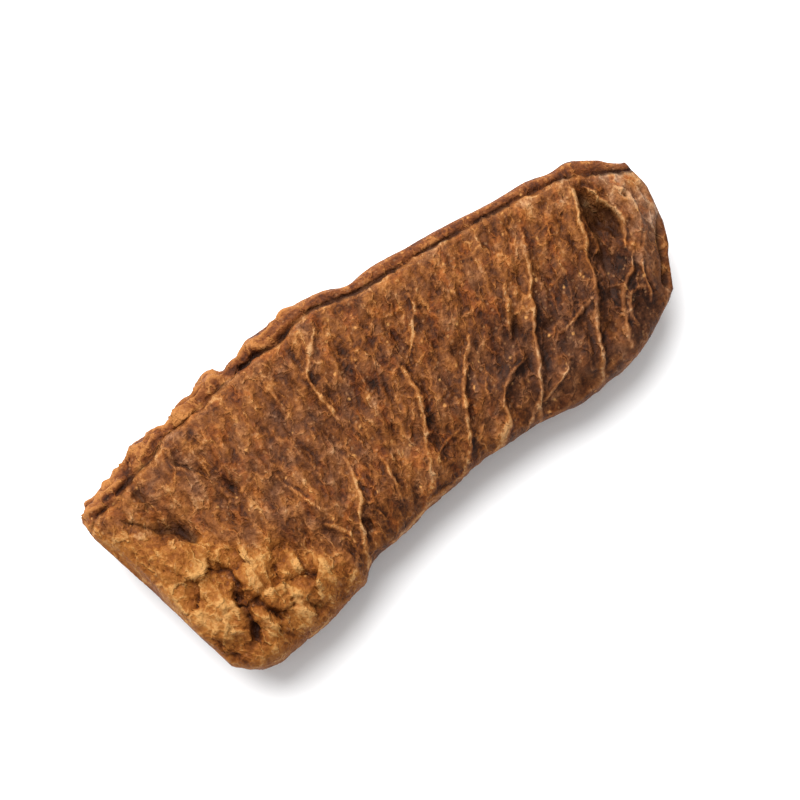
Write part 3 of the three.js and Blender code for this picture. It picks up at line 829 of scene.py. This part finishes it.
class Finish:
    """A material under construction."""

    def __init__(self, name):
        self.material = bpy.data.materials.new(name)
        self.material.use_nodes = True
        self.tree = self.material.node_tree
        self.shader = self.tree.nodes["Principled BSDF"]

    def node(self, kind, settings=None, inputs=None, output=0):
        made = self.tree.nodes.new(kind)
        for name, value in (settings or {}).items():
            setattr(made, name, value)
        for name, term in (inputs or {}).items():
            plug(self.tree, made.inputs[name], term)
        return Value(self.tree, made.outputs[output])

    def attribute(self, name, output="Fac"):
        return self.node("ShaderNodeAttribute", {"attribute_name": name}, output=output)

    def noise(self, vector, size, detail=4.0, roughness=0.55, output="Fac"):
        """Noise from 0 to 1 whose largest spots are about size millimetres across."""
        inputs = {"Vector": vector, "Scale": 1 / size, "Detail": detail, "Roughness": roughness}
        return self.node("ShaderNodeTexNoise", None, inputs, output)

    def net(self, vector, size, half_width):
        """1 on the borders of cells about size millimetres across, 0 further off than half_width."""
        settings = {"feature": "DISTANCE_TO_EDGE"}
        gap = self.node("ShaderNodeTexVoronoi", settings, {"Vector": vector, "Scale": 1 / size})
        return self.between(gap, half_width / size, 0.0)

    def between(self, value, low, high):
        """0 at low and under, 1 at high and over."""
        settings = {"interpolation_type": "SMOOTHSTEP"}
        inputs = {"Value": value, "From Min": low, "From Max": high}
        return self.node("ShaderNodeMapRange", settings, inputs)

    def blend(self, share, a, b):
        """Colour a where share is 0, colour b where it is 1."""
        made = self.tree.nodes.new("ShaderNodeMix")
        made.data_type = "RGBA"
        plug(self.tree, made.inputs["Factor"], share)
        plug(self.tree, made.inputs[6], a)
        plug(self.tree, made.inputs[7], b)
        return Value(self.tree, made.outputs[2])

    def ramp(self, value, stops):
        """A colour for each value, through [place, colour] stops."""
        made = self.tree.nodes.new("ShaderNodeValToRGB")
        marks = made.color_ramp.elements
        while len(marks) < len(stops):
            marks.new(0.5)
        for mark, (place, shade) in zip(marks, stops):
            mark.position = place
            mark.color = shade
        plug(self.tree, made.inputs[0], value)
        return Value(self.tree, made.outputs["Color"])

    def stretch(self, vector, factors):
        """The vector scaled by a factor in each direction: under 1 draws a pattern out."""
        return self.node("ShaderNodeMapping", None, {"Vector": vector, "Scale": factors})

    def swayed(self, vector, swirl, reach):
        """The vector moved by a swirl of noise, by up to about reach."""
        settings = {"operation": "MULTIPLY_ADD"}
        return self.node("ShaderNodeVectorMath", settings, {0: swirl, 1: (reach,) * 3, 2: vector})

    def grains(self, vector, scale, reach):
        """1 in the middle of scattered grains, 0 beyond them; reach is both gaps, as shares of a cell."""
        gap = self.node("ShaderNodeTexVoronoi", None, {"Vector": vector, "Scale": scale})
        return self.between(gap, *reach)

    def to(self, name, term):
        plug(self.tree, self.shader.inputs[name], term)


def colour(red, green, blue):
    """A linear colour from display values of 0 to 255, as they look under the studio light."""
    def linear(value):
        value /= 255
        return value / 12.92 if value <= 0.04045 else ((value + 0.055) / 1.055) ** 2.4

    return (*(linear(value) / STUDIO_LEVEL for value in (red, green, blue)), 1)


# How much lighter than its own colour a level surface looks under the studio light
STUDIO_LEVEL = 1.75

# Display colours of the skin from its darkest to its lightest tone: [place, colour]
WARM_SKIN = [
    (0.0, (34, 14, 4)), (0.25, (82, 42, 16)), (0.5, (134, 77, 34)), (0.75, (178, 112, 56)),
    (1.0, (222, 164, 104)),
]
GREY_SKIN = [
    (0.0, (38, 20, 12)), (0.25, (72, 44, 30)), (0.5, (108, 71, 50)), (0.75, (150, 108, 82)),
    (1.0, (200, 158, 128)),
]
RUST_SKIN = [
    (0.0, (38, 14, 4)), (0.25, (90, 40, 14)), (0.5, (146, 74, 27)), (0.75, (192, 108, 44)),
    (1.0, (232, 160, 88)),
]
OCHRE_SKIN = [
    (0.0, (54, 22, 3)), (0.25, (100, 50, 14)), (0.5, (150, 84, 29)), (0.75, (182, 114, 48)),
    (1.0, (220, 160, 90)),
]
CORD_SKIN = [
    (0.0, (38, 16, 7)), (0.3, (84, 41, 18)), (0.6, (138, 76, 35)), (1.0, (200, 130, 68)),
]
# Colour of small bright specks, partly dust and partly painted glints
GLINT_AND_DUST_SPECK = (236, 168, 96)
# Colour of the painted highlight flecks
FLECK_HIGHLIGHT = (196, 142, 96)
# Colour of the painted shade in folds, hollows, cracks and grooves
CREVICE_SHADE = (42, 18, 6)

# Sizes of the finish's patterns, in millimetres
CREST_RAGGED_SIZE = 0.5
PATCH_SIZE = 5
STAIN_SIZE = 1.1
SWIRL_SIZE = 1.1
NET_SIZE = 1.4
NET_WIDTH = 0.2
FINE_NET_SIZE = 0.7
FINE_NET_WIDTH = 0.16
GRIT_SIZE = 0.45
GREYNESS_SIZE = 2.2
RUST_SIZE = 1.4
GROOVE_SHADE_PATCH_SIZE = 5
GLINT_AND_DUST_SPECKS_PER_MM = 0.75
FLECK_HIGHLIGHTS_PER_MM = 1.7

# Directions in which the patterns are drawn out
FIBRES = (1.0, 0.38, 0.45)
PATCHES = (1.0, 0.65, 1.0)
NET = (1.0, 0.45, 0.55)
FINE_NET = (1.0, 0.7, 0.8)
RUST = (1.0, 0.6, 0.6)
ALONG_CORD = (0.25, 1.0, 1.0)

SKIN_SHEEN = 0.08
SKIN_ROUGHNESS = 0.6
BUMP_DEPTH_M = 0.0002


def toned(f, tone, stops):
    """The colour that a tone from 0 to 1 has on one kind of skin."""
    return f.ramp(tone, [(place, colour(*shade)) for place, shade in stops])


def pod_finish():
    f = Finish("pod_skin")
    grain = f.attribute("grain", "Vector")
    height, line, vein_side_shade, fold, rim, lip, groove, pale, grey, worn = map(f.attribute, FINISH_MARKS)

    ragged = line + 0.2 * (f.noise(grain, CREST_RAGGED_SIZE, 3) - 0.5)
    patches = f.noise(f.stretch(grain, PATCHES), PATCH_SIZE, 3)
    stains = f.noise(f.stretch(grain, FIBRES), STAIN_SIZE, 4, 0.6)
    swirl = f.noise(grain, SWIRL_SIZE, 3, output="Color")
    bent = f.swayed(grain, swirl, 1.6)
    strong = f.between(f.noise(grain, NET_SIZE, 1), 0.4, 0.56)
    net = f.net(f.stretch(bent, NET), NET_SIZE, NET_WIDTH) * strong
    fine_net = f.net(f.stretch(bent, FINE_NET), FINE_NET_SIZE, FINE_NET_WIDTH) * (1 - 0.6 * grey)
    grit = f.noise(grain, GRIT_SIZE, 3, 0.6)
    micro = 0.6 * net + 0.25 * fine_net + 0.4 * (grit - 0.5)
    crest = f.between(ragged, 0.4, 0.06)
    # Painted shade at the foot of each vein, beside its crest
    beside = f.between(line, 1.3, 0.4) * (1 - crest)

    # The tone follows the relief height: partly painted shade in the hollows and painted light on the
    # crests
    tone = 0.5 + 0.6 * height + 0.4 * (micro - 0.15) + 0.8 * (stains - 0.5) + 0.35 * (patches - 0.5)
    # Painted shade on the shaded side of each vein and at each vein's foot
    tone = tone + 0.15 * lip - 0.08 * grey - 0.12 * vein_side_shade + 0.19 * pale - 0.12 * beside + 0.34 * crest
    # The light mark adds patches that are partly painted light and shade
    tone = tone + 0.26 * worn + 0.1 * f.attribute("light") + 0.5 * (grit - 0.5)
    greyness = grey * 0.45 + worn * 0.5 + 2.4 * (f.noise(grain, GREYNESS_SIZE, 3) - 0.5) + 0.05
    skin_colour = f.blend(greyness.clamped(), toned(f, tone, WARM_SKIN), toned(f, tone, GREY_SKIN))
    rust = f.between(f.noise(f.stretch(bent, RUST), RUST_SIZE, 3), 0.5, 0.66)
    skin_colour = f.blend(rust * (0.6 - 0.4 * grey), skin_colour, toned(f, tone, RUST_SKIN))
    skin_colour = f.blend(pale * 0.85, skin_colour, toned(f, tone, OCHRE_SKIN))
    # Painted light: the lit side of each vein is warmer and lighter
    vein_lit_side = (vein_side_shade * -1.0).clamped() * 0.6
    skin_colour = f.blend(vein_lit_side + crest * 0.3, skin_colour, toned(f, tone, WARM_SKIN))

    cord_tone = 0.54 + 0.9 * (f.noise(f.stretch(grain, ALONG_CORD), STAIN_SIZE, 4) - 0.5)
    # The cord's tone follows its height: partly painted shade in its creases and painted light on its
    # crests
    cord_tone = cord_tone + 0.6 * (stains - 0.5) + 1.4 * height + 0.5 * (micro - 0.2) + 0.4 * pale
    # Painted highlight along the rim cord's lit middle
    cord_tone = cord_tone + 0.26 * (f.attribute("cord_highlight") - 0.45) + 0.4 * (grit - 0.5)
    skin_colour = f.blend(rim * 0.9, skin_colour, toned(f, cord_tone, CORD_SKIN))

    ragged_grain = f.swayed(grain, swirl, 0.5)
    # Small bright specks: partly dust and partly painted glints
    glint_and_dust_speck = f.grains(ragged_grain, GLINT_AND_DUST_SPECKS_PER_MM, (0.2, 0.06)) * f.between(stains, 0.48, 0.58)
    skin_colour = f.blend(glint_and_dust_speck * 0.75, skin_colour, colour(*GLINT_AND_DUST_SPECK))
    # Painted highlights: small pale flecks
    fleck_highlight = f.grains(ragged_grain, FLECK_HIGHLIGHTS_PER_MM, (0.36, 0.12)) * f.between(stains, 0.46, 0.6)
    skin_colour = f.blend(fleck_highlight * 0.4, skin_colour, colour(*FLECK_HIGHLIGHT))
    # The groove's painted shade, made patchy
    groove = groove * (0.5 + f.between(f.noise(grain, GROOVE_SHADE_PATCH_SIZE, 2), 0.42, 0.58))
    # Painted shade: folds, hollows, cracks and the groove under the rim cord are darkened towards the
    # crevice shade colour
    crevice_shade = f.between(fold + 0.9 * groove, 0.15, 1.0)
    skin_colour = f.blend(crevice_shade * 0.78, skin_colour, colour(*CREVICE_SHADE))

    bump = {"Strength": 1.0, "Distance": BUMP_DEPTH_M, "Height": micro}
    f.to("Base Color", skin_colour)
    f.to("Roughness", SKIN_ROUGHNESS + 0.3 * (stains - 0.5))
    f.to("Normal", f.node("ShaderNodeBump", None, bump))
    f.to("Specular IOR Level", SKIN_SHEEN)
    return f.material


# Floor, light and camera
TURN_IN_PICTURE = math.radians(36.7)
CAMERA_HEIGHT_ANGLE = math.radians(78)
LENS = 100
SENSOR = 36
NEAREST_SHOWN = 0.01
VIEW_WIDTH = 0.086
LOOKED_AT = Vector((0, 0, 0.004))

FLOOR_HALF_WIDTH = 3
FLOOR_COLOUR = (0.9, 0.9, 0.905, 1)
FLOOR_ROUGHNESS = 0.8

# The soft light's place, in metres up the picture, to its right and above the floor
LIGHT_PLACE = (0.34, -0.27, 0.56)
LIGHT_WIDTH = 0.8
LIGHT_POWER = 11.5
SKY_COLOUR = (1, 1, 1, 1)
SKY_STRENGTH = 0.68


def make_floor():
    shape = bmesh.new()
    bmesh.ops.create_grid(shape, x_segments=1, y_segments=1, size=FLOOR_HALF_WIDTH)
    mesh = bpy.data.meshes.new("floor")
    shape.to_mesh(mesh)
    shape.free()
    floor = bpy.data.objects.new("floor", mesh)
    bpy.context.scene.collection.objects.link(floor)
    f = Finish("floor")
    f.to("Base Color", FLOOR_COLOUR)
    f.to("Roughness", FLOOR_ROUGHNESS)
    mesh.materials.append(f.material)


def picture_up():
    return Vector((math.sin(TURN_IN_PICTURE), math.cos(TURN_IN_PICTURE), 0))


def picture_right():
    return Vector((math.cos(TURN_IN_PICTURE), -math.sin(TURN_IN_PICTURE), 0))


def aim(thing, place, target):
    thing.location = place
    thing.rotation_euler = (target - place).to_track_quat("-Z", "Y").to_euler()


def make_light():
    light = bpy.data.lights.new("key", "AREA")
    light.shape = "DISK"
    light.size = LIGHT_WIDTH
    light.energy = LIGHT_POWER
    holder = bpy.data.objects.new("key", light)
    bpy.context.scene.collection.objects.link(holder)
    up, right, high = LIGHT_PLACE
    aim(holder, picture_up() * up + picture_right() * right + Vector((0, 0, high)), Vector((0, 0, 0)))


def make_camera():
    camera = bpy.data.cameras.new("camera")
    camera.lens = LENS
    camera.sensor_width = SENSOR
    camera.clip_start = NEAREST_SHOWN
    holder = bpy.data.objects.new("camera", camera)
    bpy.context.scene.collection.objects.link(holder)
    away = VIEW_WIDTH * LENS / SENSOR
    above = Vector((0, 0, 1)) * math.sin(CAMERA_HEIGHT_ANGLE)
    below_in_picture = picture_up() * math.cos(CAMERA_HEIGHT_ANGLE)
    aim(holder, LOOKED_AT + (above - below_in_picture) * away, LOOKED_AT)
    bpy.context.scene.camera = holder


def make_studio():
    make_floor()
    world = bpy.data.worlds.new("studio")
    world.use_nodes = True
    sky = world.node_tree.nodes["Background"]
    sky.inputs["Color"].default_value = SKY_COLOUR
    sky.inputs["Strength"].default_value = SKY_STRENGTH
    bpy.context.scene.world = world
    bpy.context.scene.view_settings.view_transform = "Standard"
    make_light()
    make_camera()


make_studio()
pod = make_pod()
pod.data.materials.append(pod_finish())
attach(pod, "root")
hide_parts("pod")

bpy.context.view_layer.update()
